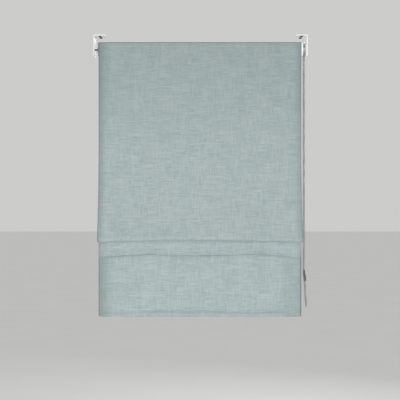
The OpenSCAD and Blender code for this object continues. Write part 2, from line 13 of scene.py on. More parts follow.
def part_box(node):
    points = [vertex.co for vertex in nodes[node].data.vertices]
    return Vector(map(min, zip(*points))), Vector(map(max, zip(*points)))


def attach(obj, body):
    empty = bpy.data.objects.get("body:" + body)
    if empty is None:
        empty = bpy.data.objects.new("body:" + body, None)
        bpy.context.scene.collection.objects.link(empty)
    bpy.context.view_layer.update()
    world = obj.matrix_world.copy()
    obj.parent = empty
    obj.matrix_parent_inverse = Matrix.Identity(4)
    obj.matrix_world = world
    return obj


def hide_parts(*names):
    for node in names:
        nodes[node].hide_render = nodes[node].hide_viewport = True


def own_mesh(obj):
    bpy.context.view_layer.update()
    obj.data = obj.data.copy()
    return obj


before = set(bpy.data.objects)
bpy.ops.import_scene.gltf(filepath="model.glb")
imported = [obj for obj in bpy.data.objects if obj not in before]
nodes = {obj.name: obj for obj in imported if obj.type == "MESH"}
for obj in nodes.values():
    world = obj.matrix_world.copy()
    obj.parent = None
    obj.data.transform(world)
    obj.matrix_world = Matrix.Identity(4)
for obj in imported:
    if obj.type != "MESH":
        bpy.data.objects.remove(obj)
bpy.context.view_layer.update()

# ---- places and sizes repeated from the part's source -------------------------------------------

MID_X = -0.002
TOP_Z = -0.021
LIFT_Z = -0.626
BOTTOM_Z = -0.799
AXIS_Z = -0.040
SEAT_GAP = 0.0001
PASS_GAP = 0.0004

# cloth: its layers, the one fold, the sewn sides and the hem round the bar
CLOTH_HALF = 0.287
CLOTH_Y = -0.0188
FACE_T = 0.0008
LINING_T = 0.0004
SIDE_HEM = 0.040
FOLD_R = 0.0095
FOLD_BACK = 0.026
FOLD_LOW = -0.5822
SWEEP_R = 0.870
HEM_R = 0.003
HEM_RISE = 0.006
HEM_LEAN = math.radians(55)
HEM_GAP = 0.0003
HEM_TOP = 0.018
LINING_RISE = 0.026

# rods and their pockets
UPPER_DROP = 0.140
UPPER_TO_MIDDLE = 0.2902
UPPER_Z = TOP_Z - UPPER_DROP
MIDDLE_Y = -0.02913745
MIDDLE_Z = -0.45068694
MIDDLE_TILT = math.radians(8.841293)
ROD_INSET = 0.014
TIP_LENGTH = 0.007
POCKET_HALF = CLOTH_HALF - ROD_INSET - TIP_LENGTH - PASS_GAP
POCKET_IN = 0.0022
POCKET_OUT = 0.0026
POCKET_Y = FACE_T + SEAT_GAP + POCKET_OUT
POCKET_T = 0.0004
POCKET_H = 0.016

# lift cords, on their spools
CORD_X = 0.14924
CORD_Y = -0.00875
CORD_R = 0.0007
SPOOL_R = 0.008

# bead chain and its joiner
BALL_PITCH = 0.006
BALL_R = 0.00225
LINK_R = 0.00065
WHEEL_BALLS = 12
WHEEL_R = BALL_PITCH * WHEEL_BALLS / (2 * math.pi)
RUN_BALLS = 105
LEAN_BALLS = 15
LEAN = math.radians(4)
CHAIN_SIDE = 0.2963
CHAIN_X = MID_X + CHAIN_SIDE
KNEE_Z = AXIS_Z - BALL_PITCH * RUN_BALLS
JOINER_LEN = 0.030
JOINER_R = 0.0034

# brackets
SCREW_X = 0.286
SCREW_Y = 0.012
FLANGE_T = 0.002

# ---- sizes of forms that are here only ----------------------------------------------------------

THREAD_PITCH = 0.0011
SLUB_PITCH = 0.0031
GRAIN_PITCH = 0.00055
STITCH_STEP = 0.0042
STITCH_LENGTH = 0.0030
HEM_ROW_RISE = 0.0152
HEM_ROW_INSET = 0.006
HEM_THREAD = 0.0005
POCKET_ROW_INSET = 0.004
POCKET_THREAD = 0.00042
JOINER_STEP = 0.0006


def smooth(a, b, v):
    """0 below a, 1 above b, smooth in between."""
    t = min(1.0, max(0.0, (v - a) / (b - a)))
    return t * t * (3 - 2 * t)


def bell(v, width):
    """1 at zero, falling off to both sides within about the width."""
    return math.exp(-(v / width) ** 2)


# ---- meshes -------------------------------------------------------------------------------------


def mesh_object(name, verts, faces, uvs=None, tones=None):
    """A mesh object with outward normals; uvs and tones give a pair and a painted shade per vertex.
    """
    mesh = bpy.data.meshes.new(name)
    mesh.from_pydata(verts, [], faces)
    if tones:
        layer = mesh.attributes.new("tone", "FLOAT", "POINT")
        layer.data.foreach_set("value", tones)
    if uvs:
        layer = mesh.uv_layers.new(name="cloth")
        for loop in mesh.loops:
            layer.data[loop.index].uv = uvs[loop.vertex_index]
    work = bmesh.new()
    work.from_mesh(mesh)
    bmesh.ops.recalc_face_normals(work, faces=work.faces)
    work.to_mesh(mesh)
    work.free()
    for poly in mesh.polygons:
        poly.use_smooth = len(poly.vertices) <= 4
    obj = bpy.data.objects.new(name, mesh)
    bpy.context.scene.collection.objects.link(obj)
    return obj


def loft(rings, closed=False):
    """Vertices and faces of closed rings in a row, capped at the ends unless the row is closed."""
    n = len(rings[0])
    verts = [p for points in rings for p in points]
    faces = []
    last = len(rings) if closed else len(rings) - 1
    for i in range(last):
        a, b = i * n, ((i + 1) % len(rings)) * n
        for k in range(n):
            m = (k + 1) % n
            faces.append((a + k, a + m, b + m, b + k))
    if not closed:
        faces.append(tuple(range(n - 1, -1, -1)))
        faces.append(tuple(range(len(verts) - n, len(verts))))
    return verts, faces


def join_parts(parts):
    """One vertex and face list out of several."""
    verts, faces = [], []
    for part_verts, part_faces in parts:
        shift = len(verts)
        verts += part_verts
        faces += [tuple(i + shift for i in face) for face in part_faces]
    return verts, faces


def angles(sides):
    """The directions of the corners of a ring."""
    return [2 * math.pi * k / sides for k in range(sides)]


def ring(centre, across, up, width, height, sides):
    """An oval ring of points in the plane of two directions; width and height are half sizes."""
    return [tuple(centre + across * (width * math.cos(t)) + up * (height * math.sin(t)))
            for t in angles(sides)]


def tube(points, radius, sides):
    """Rings of a round tube along points that stay in a plane of constant X."""
    rings = []
    across = Vector((1, 0, 0))
    for i, p in enumerate(points):
        a, b = points[max(0, i - 1)], points[min(len(points) - 1, i + 1)]
        along = (Vector(b) - Vector(a)).normalized()
        up = along.cross(across).normalized()
        rings.append(ring(Vector(p), across, up, radius, radius, sides))
    return rings


def lathe(profile, sides, place):
    """A revolved outline of (radius, height) pairs, set in place by a matrix."""
    return loft([[tuple(place @ Vector((r * math.cos(t), r * math.sin(t), h)))
                  for t in angles(sides)] for r, h in profile])


# ---- materials ----------------------------------------------------------------------------------


class Shade:
    """A node material with a principled shader, and short calls to add nodes to it."""

    def __init__(self, name, roughness=0.5, metallic=0.0, **constants):
        self.material = bpy.data.materials.new(name)
        self.material.use_nodes = True
        self.tree = self.material.node_tree
        self.shader = self.tree.nodes["Principled BSDF"]
        self.shader.inputs["Roughness"].default_value = roughness
        self.shader.inputs["Metallic"].default_value = metallic
        for key, value in constants.items():
            self.shader.inputs[key.replace("_", " ")].default_value = value

    def add(self, kind, **values):
        node = self.tree.nodes.new(kind)
        for key, value in values.items():
            setattr(node, key, value)
        return node

    def link(self, out, into):
        self.tree.links.new(out, into)

    def coords(self, scale, kind="Object", shift=(0, 0, 0)):
        source = self.add("ShaderNodeTexCoord")
        mapping = self.add("ShaderNodeMapping")
        mapping.inputs["Scale"].default_value = scale
        mapping.inputs["Location"].default_value = shift
        self.link(source.outputs[kind], mapping.inputs["Vector"])
        return mapping.outputs["Vector"]

    def noise(self, scale, kind="Object", detail=2.0, rough=0.5, shift=(0, 0, 0)):
        """Soft noise; scale is the number of grains to a metre along each axis."""
        node = self.add("ShaderNodeTexNoise")
        node.inputs["Scale"].default_value = 1.0
        node.inputs["Detail"].default_value = detail
        node.inputs["Roughness"].default_value = rough
        self.link(self.coords(scale, kind, shift), node.inputs["Vector"])
        return node.outputs["Fac"]

    def ramp(self, value, low, high, a=0.0, b=1.0):
        """From a at low to b at high, smooth in between."""
        node = self.add("ShaderNodeMapRange", interpolation_type="SMOOTHSTEP")
        limits = (("From Min", low), ("From Max", high), ("To Min", a), ("To Max", b))
        for key, number in limits:
            node.inputs[key].default_value = number
        self.link(value, node.inputs["Value"])
        return node.outputs["Result"]

    def calc(self, operation, a, b=0):
        node = self.add("ShaderNodeMath", operation=operation)
        for i, value in enumerate((a, b)):
            if isinstance(value, (int, float)):
                node.inputs[i].default_value = value
            else:
                self.link(value, node.inputs[i])
        return node.outputs["Value"]

    def plus(self, a, b):
        return self.calc("ADD", a, b)

    def minus(self, a, b):
        return self.calc("SUBTRACT", a, b)

    def times(self, a, b):
        return self.calc("MULTIPLY", a, b)

    def most(self, first, *others):
        for value in others:
            first = self.calc("MAXIMUM", first, value)
        return first

    def mix(self, factor, a, b, clamp=True):
        """Colour a at factor 0 and b at 1; each may be a node's output."""
        node = self.add("ShaderNodeMix", data_type="RGBA", clamp_factor=clamp)
        self.link(factor, node.inputs["Factor"])
        for socket, value in ((node.inputs[6], a), (node.inputs[7], b)):
            if isinstance(value, tuple):
                socket.default_value = value + (1.0,)
            else:
                self.link(value, socket)
        return node.outputs[2]

    def threads(self, along, across, pitch, stretch, seed):
        """A value for each stretch of each thread: they lie across at the pitch and run along."""
        row_apart = 5.37
        row = self.calc("FLOOR", self.calc("DIVIDE", across, pitch))
        place = self.add("ShaderNodeCombineXYZ")
        self.link(self.times(along, stretch), place.inputs["X"])
        self.link(self.plus(self.times(row, row_apart), seed), place.inputs["Y"])
        node = self.add("ShaderNodeTexNoise", noise_dimensions="2D")
        node.inputs["Scale"].default_value = 1.0
        node.inputs["Detail"].default_value = 1.0
        self.link(place.outputs["Vector"], node.inputs["Vector"])
        return node.outputs["Fac"]

    def round_thread(self, across, pitch, low, span):
        """low between threads, rising by span to the middle of each thread."""
        wave = self.calc("COSINE", self.times(across, 2 * math.pi / pitch))
        crown = self.minus(0.5, self.times(wave, 0.5))
        return self.plus(self.times(crown, span), low)

    def plain_weave(self, u, v, pitch):
        """Height of threads that pass over and under each other, 0 in the gaps, 1 on the crowns."""
        su = self.calc("SINE", self.times(u, math.pi / pitch))
        sv = self.calc("SINE", self.times(v, math.pi / pitch))
        half_cross = self.times(self.times(su, sv), 0.5)
        warp = self.times(self.calc("ABSOLUTE", su), 0.5)
        weft = self.times(self.calc("ABSOLUTE", sv), 0.5)
        return self.most(self.plus(warp, half_cross), self.minus(weft, half_cross))

    def color(self, value):
        self.link(value, self.shader.inputs["Base Color"])

    def rough(self, value):
        self.link(value, self.shader.inputs["Roughness"])

    def bump(self, height, strength, distance):
        node = self.add("ShaderNodeBump")
        node.inputs["Strength"].default_value = strength
        node.inputs["Distance"].default_value = distance
        self.link(height, node.inputs["Height"])
        self.link(node.outputs["Normal"], self.shader.inputs["Normal"])


CLOTH_PALE = (0.363, 0.420, 0.428)
CLOTH_DEEP = (0.312, 0.370, 0.375)
CLOTH_LIGHT_THREAD = (0.442, 0.505, 0.510)
CLOTH_SHADOW_THREAD = (0.236, 0.290, 0.296)
# the colour that painted shade on the face cloth is mixed towards
CLOTH_PAINTED_SHADE = (0.180, 0.225, 0.226)


def cloth_material():
    """Slubbed linen: short thick threads both ways over a fine plain weave, painted shade and light
    per vertex.
    """
    m = Shade("face_linen", roughness=0.9, Sheen_Weight=0.08, Sheen_Roughness=0.5,
              Specular_IOR_Level=0.2)
    split = m.add("ShaderNodeSeparateXYZ")
    m.link(m.add("ShaderNodeTexCoord").outputs["UV"], split.inputs["Vector"])
    u, v = split.outputs["X"], split.outputs["Y"]
    weft = m.threads(u, v, THREAD_PITCH, 36, 3.1)
    warp = m.threads(v, u, THREAD_PITCH, 34, 8.7)
    weft_slub = m.threads(u, v, SLUB_PITCH, 25, 1.4)
    warp_slub = m.threads(v, u, SLUB_PITCH, 24, 6.2)
    lie = m.round_thread(v, SLUB_PITCH, 0.25, 0.75)
    stand = m.round_thread(u, SLUB_PITCH, 0.20, 0.66)
    thin_lie = m.round_thread(v, THREAD_PITCH, 0.3, 0.7)
    thin_stand = m.round_thread(u, THREAD_PITCH, 0.27, 0.62)
    light = m.most(m.times(m.ramp(weft_slub, 0.55, 0.70), lie),
                   m.times(m.ramp(warp_slub, 0.55, 0.71), stand),
                   m.times(m.ramp(weft, 0.52, 0.84), thin_lie))
    dark = m.most(m.times(m.ramp(weft_slub, 0.45, 0.30), lie),
                  m.times(m.ramp(warp_slub, 0.45, 0.29), stand),
                  m.times(m.ramp(warp, 0.48, 0.16), thin_stand))
    cloud = m.noise((20, 20, 1), "UV", detail=4, rough=0.6)
    base = m.mix(m.ramp(cloud, 0.3, 0.7, 0.2, 0.8), CLOTH_DEEP, CLOTH_PALE)
    base = m.mix(m.times(dark, 0.52), base, CLOTH_SHADOW_THREAD)
    base = m.mix(m.times(light, 0.60), base, CLOTH_LIGHT_THREAD)
    grain = m.plain_weave(u, v, GRAIN_PITCH)
    grain_light = m.ramp(grain, 0.1, 0.9, -0.55, 0.55)
    base = m.mix(grain_light, base, CLOTH_LIGHT_THREAD, clamp=False)
    # painted shade and painted light: the tone attribute mixes towards the painted shade colour,
    # below zero away from it
    tone = m.add("ShaderNodeAttribute", attribute_name="tone")
    m.color(m.mix(tone.outputs["Fac"], base, CLOTH_PAINTED_SHADE, clamp=False))
    m.bump(m.minus(m.plus(light, m.times(grain, 0.7)), m.times(dark, 0.6)), 0.45, 0.0005)
    return m.material


def plain_cloth(name, color, deep, scale=900):
    """Close plain weave for the lining, the pockets, the tape and the sewing threads."""
    m = Shade(name, roughness=0.85, Sheen_Weight=0.1, Specular_IOR_Level=0.25)
    a = m.noise((scale, scale * 0.3, scale * 0.3))
    b = m.noise((scale * 0.3, scale, scale), shift=(3, 1, 2))
    cloud = m.noise((7, 7, 7), detail=3)
    weave = m.plus(m.times(a, 0.5), m.times(b, 0.5))
    tone = m.plus(m.times(weave, 0.55), m.times(cloud, 0.45))
    m.color(m.mix(m.ramp(tone, 0.32, 0.68), deep, color))
    m.bump(weave, 0.3, 0.0003)
    return m.material


def coated(name, color, worn, roughness=0.42, grain=1600):
    """Powder coat or moulded plastic: a fine orange peel, faint dust and duller patches."""
    m = Shade(name, roughness=roughness)
    peel = m.noise((grain, grain, grain))
    patch = m.noise((30, 30, 30), detail=4)
    m.color(m.mix(m.ramp(patch, 0.45, 0.8), color, worn))
    m.rough(m.ramp(patch, 0.3, 0.75, roughness - 0.06, roughness + 0.14))
    m.bump(peel, 0.12, 0.0001)
    return m.material


def metal(name, color, dull, roughness=0.28, along=(900, 900, 40)):
    """Plated or drawn metal: fine draw lines and uneven brightness."""
    m = Shade(name, roughness=roughness, metallic=1.0)
    lines = m.noise(along, detail=3)
    patch = m.noise((60, 60, 60), detail=3)
    m.color(m.mix(m.ramp(patch, 0.35, 0.7), color, dull))
    m.rough(m.ramp(lines, 0.3, 0.7, roughness - 0.08, roughness + 0.12))
    m.bump(lines, 0.1, 0.00005)
    return m.material


def braid_material():
    """Braided cord: light and darker strands on the slant."""
    m = Shade("lift_cord_braid", roughness=0.8, Sheen_Weight=0.1)
    wave = m.add("ShaderNodeTexWave", wave_type="BANDS", bands_direction="DIAGONAL")
    wave.inputs["Scale"].default_value = 1.0
    wave.inputs["Distortion"].default_value = 1.5
    m.link(m.coords((260, 260, 260)), wave.inputs["Vector"])
    m.color(m.mix(wave.outputs["Fac"], (0.62, 0.62, 0.6), (0.86, 0.86, 0.84)))
    m.bump(wave.outputs["Fac"], 0.4, 0.0002)
    return m.material


face_linen = cloth_material()
lining_cloth = plain_cloth("lining_sateen", (0.74, 0.72, 0.67), (0.66, 0.64, 0.59))
tape_cloth = plain_cloth("touch_tape", (0.78, 0.77, 0.73), (0.62, 0.61, 0.57), scale=500)
rail_coat = coated("rail_coat", (0.82, 0.82, 0.81), (0.775, 0.775, 0.765))
bracket_coat = coated("bracket_coat", (0.88, 0.88, 0.87), (0.84, 0.84, 0.83), roughness=0.36)
white_plastic = coated("white_plastic", (0.84, 0.84, 0.83), (0.76, 0.76, 0.75),
                       roughness=0.5, grain=2400)
milky_plastic = coated("milky_plastic", (0.8, 0.81, 0.8), (0.72, 0.73, 0.72),
                       roughness=0.3, grain=2000)
cap_grey = coated("cap_grey", (0.20, 0.215, 0.21), (0.26, 0.275, 0.27), roughness=0.5)
grey_plastic = coated("grey_plastic", (0.085, 0.085, 0.09), (0.13, 0.13, 0.135), roughness=0.45)
dark_steel = metal("dark_steel", (0.12, 0.12, 0.125), (0.2, 0.2, 0.2), roughness=0.4)
chain_nickel = metal("chain_nickel", (0.46, 0.46, 0.45), (0.33, 0.33, 0.325),
                     roughness=0.3, along=(400, 400, 400))
mill_metal = metal("mill_metal", (0.66, 0.66, 0.67), (0.55, 0.55, 0.56),
                   roughness=0.36, along=(30, 900, 900))
rod_glass = coated("rod_glass", (0.74, 0.73, 0.68), (0.66, 0.65, 0.6), roughness=0.5, grain=900)
cord_braid = braid_material()
thread_face = plain_cloth("thread_face", (0.34, 0.40, 0.405), (0.26, 0.31, 0.315), scale=1500)
thread_lining = plain_cloth("thread_lining", (0.7, 0.68, 0.63), (0.58, 0.56, 0.52), scale=1500)

# the nodes that keep their solid's shape
NODE_MATERIALS = {
    rail_coat: ["headrail"],
    bracket_coat: ["left_bracket", "right_bracket"],
    cap_grey: ["left_end_cap"],
    white_plastic: ["control_housing", "control_cover", "chain_wheel", "shaft_bush",
                    "left_spool", "right_spool", "left_cradle", "right_cradle",
                    "upper_rod_tips", "middle_rod_tips", "lift_rod_tips", "bar_plugs"],
    milky_plastic: ["upper_left_ring", "upper_right_ring", "middle_left_ring",
                    "middle_right_ring", "left_anchor", "right_anchor"],
    dark_steel: ["idle_pin", "brake_spring"],
    mill_metal: ["drive_shaft", "bottom_bar"],
    rod_glass: ["upper_rod", "middle_rod", "lift_rod"],
}
for material, names in NODE_MATERIALS.items():
    for name in names:
        nodes[name].data.materials.clear()
        nodes[name].data.materials.append(material)


def dress(obj, material, body, replaced=()):
    """Gives a piece its material and the body it rides on, and hides the nodes it stands for."""
    obj.data.materials.append(material)
    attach(obj, body)
    if replaced:
        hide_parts(*replaced)


def squash_with_raise(obj):
    """Gives a hanging piece a mesh of its own."""
    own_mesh(obj)


# ---- the cloth's path from the rail to the hem --------------------------------------------------

AT_Z, AT_S = 1, 3  # places in a path point (y, z, heading, s)


def cloth_path():
    """Points (y, z, heading, s) of the line between face and lining, s along it from the top.

    Heading 0 is down, positive to the room. The rows are closer where the cloth bends or is sewn.
    """
    turn = math.acos((SWEEP_R - 3 * FOLD_R) / (SWEEP_R + FOLD_R))
    sweep_end = FOLD_LOW + FOLD_R * (1 + math.sin(turn))
    sweep_top = sweep_end + SWEEP_R * math.sin(turn)
    hem_z = BOTTOM_Z + FACE_T + HEM_R
    points = []

    def run(y, z, heading, length, steps):
        for i in range(steps):
            d = length * i / steps
            points.append((y - d * math.sin(heading), z - d * math.cos(heading), heading))
        return y - length * math.sin(heading), z - length * math.cos(heading)

    def bend(y, z, a, b, r, steps):
        sign = 1 if b > a else -1
        place = (y, z)
        for i in range(steps + 1):
            f = a + (b - a) * i / steps
            place = (y + sign * r * (math.cos(f) - math.cos(a)),
                     z - sign * r * (math.sin(f) - math.sin(a)))
            if i < steps:
                points.append((place[0], place[1], f))
        return place

    # the top on the tape, the straight cloth, its sweep forward and the fold
    y, z = run(CLOTH_Y, TOP_Z, 0, 0.012, 8)
    y, z = run(y, z, 0, z - sweep_top, 56)
    y, z = bend(y, z, 0, turn, SWEEP_R, 58)
    y, z = bend(y, z, turn, -math.pi, FOLD_R, 30)
    y, z = run(y, z, -math.pi, FOLD_BACK, 9)
    y, z = bend(y, z, -math.pi, 0, FOLD_R, 26)
    # down past the lowest rod's seam
    y, z = run(y, z, 0, z - LIFT_Z - 0.020, 26)
    y, z = run(y, z, 0, 0.016, 16)
    y, z = run(y, z, 0, 0.007, 24)
    y, z = run(y, z, 0, 0.013, 12)
    # the skirt to the lining's end, to the top of the hem and to the bar
    y, z = run(y, z, 0, z - BOTTOM_Z - LINING_RISE, 42)
    y, z = run(y, z, 0, z - BOTTOM_Z - HEM_TOP, 8)
    y, z = run(y, z, 0, z - hem_z, 20)
    # round the bar and up behind it, the raw edge leaning to the front
    y, z = bend(y, z, 0, -math.pi, HEM_R, 12)
    y, z = run(y, z, -math.pi, HEM_RISE, 5)
    y, z = bend(y, z, -math.pi, -math.pi - HEM_LEAN, HEM_R, 6)
    reach = HEM_R * 2 - HEM_GAP - FACE_T - HEM_R * (1 - math.cos(HEM_LEAN))
    y, z = run(y, z, -math.pi - HEM_LEAN, reach / math.sin(HEM_LEAN), 3)
    points.append((y, z, -math.pi - HEM_LEAN))

    path, s = [], 0.0
    for i, p in enumerate(points):
        if i:
            s += math.hypot(p[0] - points[i - 1][0], p[1] - points[i - 1][1])
        path.append((p[0], p[1], p[2], s))
    return path


PATH = cloth_path()
# the fold's lowest point, the lowest rod's seam, the bottom of the hem, and what is counted from it
FOLD_S = min((p for p in PATH if p[AT_S] < 0.65), key=lambda p: p[AT_Z])[AT_S]
LIFT_S = max(p[AT_S] for p in PATH if p[AT_S] > FOLD_S + 0.06 and p[AT_Z] >= LIFT_Z - 1e-6)
BOTTOM_I = min(range(len(PATH)), key=lambda i: PATH[i][AT_Z])
BOTTOM_S = PATH[BOTTOM_I][AT_S]
STITCH_S = BOTTOM_S - HEM_ROW_RISE
LINING_END = BOTTOM_S - LINING_RISE
HEM_I = min(range(BOTTOM_I), key=lambda i: abs(PATH[i][AT_Z] - (BOTTOM_Z + HEM_TOP)))
ROD_S = (UPPER_DROP, UPPER_DROP + UPPER_TO_MIDDLE, LIFT_S)

# humps of the lowest rod's seam at the lift cords: (x, height, width to the left, to the right)
CREASE_HUMPS = ((-0.138, 0.0042, 0.036, 0.026), (0.150, 0.0032, 0.075, 0.050))


def crease_rise(x):
    """How far the lowest rod's seam stands above its level: humps at the lift cords, low ends."""
    rise = 0.0012
    for at, height, left, right in CREASE_HUMPS:
        rise += height * bell(x - at, left if x < at else right)
    return rise - 0.0050 * smooth(0.205, 0.290, abs(x)) ** 0.8


def stitch_rise(x):
    """How the hem's row of stitches wanders up and down."""
    return 0.0015 * math.sin(x * 15 + 2.2) + 0.0007 * math.sin(x * 37 + 0.4)


def cloth_move(x, s):
    """(forward along the cloth's own front, up, share of the thickness kept) of a cloth point."""
    # t is how far below the lowest rod's seam, d below the fold, h below the hem's stitches
    t = s - LIFT_S
    d = s - FOLD_S
    h = s - STITCH_S + stitch_rise(x)
    seam = bell(t, 0.0010)
    stitched = bell(h, 0.0016) if s < BOTTOM_S else 0.0

    # the seam is drawn up at the lift cords, and the fold hangs in a low arch
    up = crease_rise(x) * bell(t, 0.034 if t < 0 else 0.045)
    arch = 0.0016 - 0.0058 * (x / CLOTH_HALF) ** 2
    up += arch * bell(d, 0.120 if d < 0 else 0.030)

    # the cloth above the seam hangs over it in a small lip, the cloth below comes out from under
    tuck = 0.0024 + 0.0005 * math.sin(x * 43 + 1.0) + 0.0012 * bell(x + 0.118, 0.020)
    forward = tuck * math.exp(min(t, 0.0) / 0.008) * (1 - smooth(-0.0012, 0.0003, t))
    forward += 0.0009 * bell(t - 0.0085, 0.0055)
    up -= (0.0011 + 0.0012 * bell(x + 0.115, 0.014)) * bell(t + 0.0016, 0.0018)

    # puckers along the seam
    pucker = 0.0006 * math.sin(x * 120 + 3 * math.sin(x * 21))
    forward += pucker * bell(t + 0.004, 0.016) * (1 - seam)

    # slow waves in the hanging cloth, weak where it is taped or sewn to a rod, larger in the skirt
    free = smooth(0.03, 0.09, s) * (1 - smooth(BOTTOM_S - 0.01, BOTTOM_S, s))
    for rod in ROD_S:
        free *= 1 - 0.85 * bell(s - rod, 0.018)
    wave = noise.noise(Vector((x * 5.5, s * 4.2, 3.1)))
    wave += 0.45 * noise.noise(Vector((x * 13, s * 9, 7.7)))
    if wave < 0:
        wave *= smooth(0.026, 0.055, min(abs(s - rod) for rod in ROD_S))
    forward += free * wave * (0.0008 + 0.0012 * smooth(FOLD_S, FOLD_S + 0.09, s))

    # the hem over the bar is drawn in at the stitches and fuller above and below them
    if s < BOTTOM_S:
        fuller = 0.0008 * bell(h - 0.0058, 0.0048) + 0.0007 * bell(h + 0.0058, 0.0060)
        forward += fuller - 0.0002 * stitched

    # the sewn sides curl back a little
    side = smooth(CLOTH_HALF - 0.022, CLOTH_HALF, abs(x)) ** 2
    forward -= 0.0014 * side * smooth(0.04, 0.10, s) * (1 - 0.6 * bell(t, 0.02))
    return forward, up, 1 - 0.55 * max(seam, stitched)


def cloth_place(x, point, offset, pressed=True):
    """Where a cloth point lies: x across, a path point, offset to the front of the face's back.

    A pressed layer is thinner where it is sewn.
    """
    y, z, heading, s = point
    forward, up, keep = cloth_move(x, s)
    o = (offset * keep if pressed else offset) + forward
    return (x + MID_X, y - o * math.cos(heading), z + o * math.sin(heading) + up)


def side_painted_shade(x, s):
    """Painted shade at the turned sides: a thin dark line at the edge, the sewn turn, wider at the
    pulls.
    """
    edge = CLOTH_HALF - abs(x)
    low = smooth(LIFT_S - 0.002, LIFT_S + 0.006, s)
    right_low = low if x > 0 else 0.0
    # a thin painted shade line at the edge, wider and darker on the right below the lowest rod
    line = (0.38 + 0.70 * right_low) * (1 - smooth(0.0004, 0.0034 + 0.0014 * right_low, edge))
    turned = 1 - smooth(0.002, 0.026, edge)
    if x < 0:
        # painted shade high on the left edge and near the lowest rod
        high = 0.42 * (1 - smooth(0.10, 0.32, s)) * max(0.0, 1 - edge / 0.036)
        near_rod = 0.34 * smooth(LIFT_S - 0.06, LIFT_S - 0.04, s) + 0.37 * low
        return max(0.48 * turned, high, near_rod * max(0.0, 1 - edge / 0.046)) + line
    middle = 0.11 * smooth(0.14, 0.26, s) * (1 - smooth(0.40, 0.55, s))
    middle *= 1 - smooth(0.010, 0.050, edge)
    return max(0.34 * turned, middle, 0.20 * low * (1 - smooth(0.040, 0.064, edge))) + line


def cloth_painted_shade_and_seams(x, s):
    """Painted shade at the sewn sides, top edge, seam, hem stitches and fold, less light on top,
    and painted light under the fold.
    """
    # painted shadow in a narrow band along the top edge
    heading = 0.42 * (1 - smooth(0.0022, 0.0052, s))
    # painted light falloff: the upper cloth painted darker, fading out down the cloth
    upper = 0.36 * (1 - smooth(-0.15, 0.50, s))
    t = s - LIFT_S
    # the dark seam line: partly the sewn seam, partly painted shade in its crease, deeper at the
    # puckers
    seam_line_and_painted_shade = 0.38 + 0.16 * math.sin(x * 19 + 0.6)
    seam_line_and_painted_shade += 0.35 * bell(x + 0.124, 0.018)
    seam_line_and_painted_shade += 0.15 * bell(x - 0.19, 0.04)
    seam = seam_line_and_painted_shade * bell(t - 0.0003, 0.0014) + 0.10 * bell(t - 0.002, 0.0045)
    # painted shade along the hem's drawn-in stitches, and a little on the cloth below them
    hem_painted_shade = 0.0
    if s < BOTTOM_S:
        h = s - STITCH_S + stitch_rise(x)
        wander = 0.65 + 0.35 * math.sin(x * 31 + 1.3) * math.sin(x * 11)
        hem_painted_shade = 0.29 * wander * bell(h, 0.0046) + 0.07 * smooth(0, 0.004, h)
    # painted shadow along the fold's lowest edge
    fold = 0.20 * bell(s - FOLD_S, 0.011)
    # painted light: the strip under the fold is lightened against the fold's shade over it, most
    # just below the fold
    strip = 0.20 * smooth(-0.040, -0.026, t) * (1 - 0.65 * smooth(-0.034, -0.006, t))
    strip = strip * (1 - smooth(-0.004, -0.001, t)) + 0.14 * bell(t + 0.033, 0.007)
    return min(1.4, max(side_painted_shade(x, s), heading, seam, hem_painted_shade, fold) + upper - strip)


# ---- face cloth and lining ----------------------------------------------------------------------

# share of the painted shade given to the back of the face cloth
BACK_PAINTED_SHADE = 0.2


def spread(half, count):
    """Places from -half to half, evenly spaced."""
    return [-half + 2 * half * k / (count - 1) for k in range(count)]


def face_mesh(name, path):
    """The face cloth along a path, its sides turned to the back over the edge of the lining."""
    front_columns, turn_columns, back_columns = 150, 5, 37
    lip = CLOTH_HALF - SIDE_HEM - 0.0001
    rings, uvs, tones = [], [], []
    for point in path:
        s = point[AT_S]
        lap = LINING_T * (1 - smooth(LINING_END - 0.004, LINING_END, s))
        mid, r = (FACE_T - lap) / 2, (FACE_T + lap) / 2
        inner = CLOTH_HALF - r
        turned = [(inner + r * math.cos(a), mid + r * math.sin(a)) for a in (0.9, 0.0, -0.9)]
        turned += [(inner - (SIDE_HEM - r) * k / (turn_columns - 1), -lap)
                   for k in range(turn_columns)]
        outline = [(x, FACE_T) for x in spread(inner, front_columns)]
        outline += turned
        outline += [(-x, 0.0) for x in spread(lip, back_columns)]
        outline += [(-x, o) for x, o in reversed(turned)]
        rings.append([cloth_place(x, point, o) for x, o in outline])
        uvs += [(x, s) for x, o in outline]
        tones += [cloth_painted_shade_and_seams(x, s) * (1.0 if o > 0 else BACK_PAINTED_SHADE) for x, o in outline]
    return mesh_object(name, *loft(rings), uvs=uvs, tones=tones)


def lining_mesh():
    """The lining behind the face, between the turned sides, down to its end above the hem."""
    columns = 84
    front, back = -0.00006, -LINING_T - 0.00004
    xs = spread(CLOTH_HALF - SIDE_HEM - 0.0004, columns)
    outline = [(x, front) for x in xs] + [(x, back) for x in reversed(xs)]
    rings, uvs = [], []
    for point in PATH:
        if point[AT_S] > LINING_END:
            break
        rings.append([cloth_place(x, point, o, pressed=False) for x, o in outline])
        uvs += [(x, point[AT_S]) for x, o in outline]
    return mesh_object("lining_panel", *loft(rings), uvs=uvs)


# the hem holds the bar and keeps its height, so it rides on the bar; the cloth above rides on the
# headrail
face = face_mesh("face_linen_panel", PATH[:HEM_I + 1])
dress(face, face_linen, "headrail", ["face_cloth"])
squash_with_raise(face)
hem = face_mesh("face_linen_hem", PATH[HEM_I:])
dress(hem, face_linen, "bottom_bar")
lining = lining_mesh()
dress(lining, lining_cloth, "headrail", ["lining"])
squash_with_raise(lining)

# ---- stitches -----------------------------------------------------------------------------------

STITCH_SHAPE = ((0.0, 0.35), (0.25, 0.9), (0.5, 1.0), (0.75, 0.9), (1.0, 0.35))  # (along, thick)


